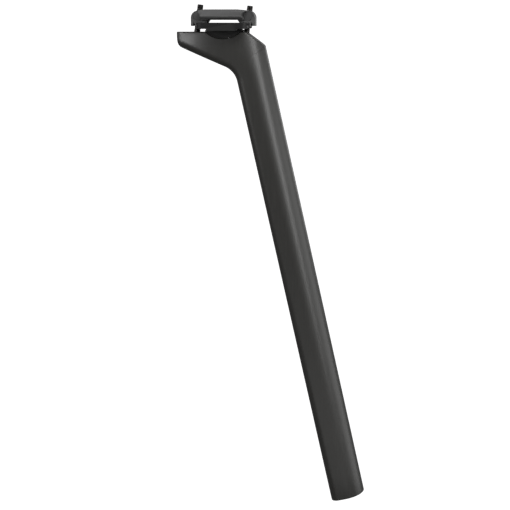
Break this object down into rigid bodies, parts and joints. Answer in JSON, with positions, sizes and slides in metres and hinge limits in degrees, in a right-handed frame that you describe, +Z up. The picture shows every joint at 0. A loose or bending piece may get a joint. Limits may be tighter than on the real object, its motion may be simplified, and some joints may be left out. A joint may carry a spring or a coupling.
{
  "type": "bicycle seatpost",
  "caption": "Set-back composite seatpost with a D-shaped tube that flexes, and a tilting saddle-rail clamp drawn down by fore and aft bolts.",
  "frame": {"origin": "centre of the tube's lower end face", "axes": "+X forward on the bicycle, +Z up with the saddle rails level, +Y to the left; the tube leans back from +Z by 12.78 degrees"},
  "size_m": [0.1516, 0.054, 0.4012],
  "materials": {
    "carbon": "satin clear coat over carbon fibre",
    "clamp_metal": "matte dark grey anodised aluminium",
    "black_metal": "matte black anodised aluminium",
    "bolt_metal": "black oxide steel",
    "seat_metal": "machined"
  },
  "bodies": {
    "post": {"post_shell": "carbon", "rear_seat_insert": "seat_metal", "front_seat_insert": "seat_metal", "front_washer": "seat_metal"},
    "cradle": {"lower_cradle": "black_metal"},
    "clamp": {"upper_clamp": "clamp_metal"},
    "rear_nut": {"rear_barrel_nut": "clamp_metal"},
    "front_nut": {"front_barrel_nut": "clamp_metal"},
    "rear_swivel": {"rear_washer": "seat_metal"},
    "rear_screw": {"rear_bolt": "bolt_metal"},
    "front_screw": {"front_bolt": "bolt_metal"}
  },
  "joints": [
    {"name": "saddle_tilt", "type": "hinge", "parent": "post", "child": "cradle", "pos_m": [-0.1012, 0, 0.3921], "axis": [0, 1, 0], "range_deg": [-7, 7]},
    {"name": "front_bolt_turn", "type": "hinge", "parent": "post", "child": "front_screw", "pos_m": [-0.08753, 0, 0.352], "axis": [-0.1357, 0, -0.9907], "range_deg": [0, 1080]},
    {"name": "rear_bolt_turn", "type": "hinge", "parent": "rear_swivel", "child": "rear_screw", "pos_m": [-0.12449, 0, 0.3658], "axis": [-0.1357, 0, -0.9907], "range_deg": [0, 1080]},
    {"name": "clamp_lift", "type": "slide", "parent": "cradle", "child": "clamp", "axis": [0.1357, 0, 0.9907], "range_m": [0, 0.0024]},
    {"name": "rear_washer_swing", "type": "hinge", "parent": "post", "child": "rear_swivel", "pos_m": [-0.12449, 0, 0.3658], "axis": [0, 1, 0], "range_deg": [-1.8, 1.8]},
    {"name": "rear_nut_swing", "type": "hinge", "parent": "clamp", "child": "rear_nut", "pos_m": [-0.1213, 0, 0.3891], "axis": [0, 1, 0], "range_deg": [-8.8, 8.8]},
    {"name": "front_nut_swing", "type": "hinge", "parent": "clamp", "child": "front_nut", "pos_m": [-0.08245, 0, 0.3891], "axis": [0, 1, 0], "range_deg": [-7.1, 7.1]}
  ],
  "couplings": [
    {"joint": "front_bolt_turn", "follows": "clamp_lift", "rad_per_m": 7854},
    {"joint": "rear_bolt_turn", "follows": "clamp_lift", "rad_per_m": 7854},
    {"joint": "rear_washer_swing", "follows": "saddle_tilt", "ratio": -0.2424},
    {"joint": "rear_nut_swing", "follows": "saddle_tilt", "ratio": -1.2424},
    {"joint": "front_nut_swing", "follows": "saddle_tilt", "ratio": -1}
  ]
}
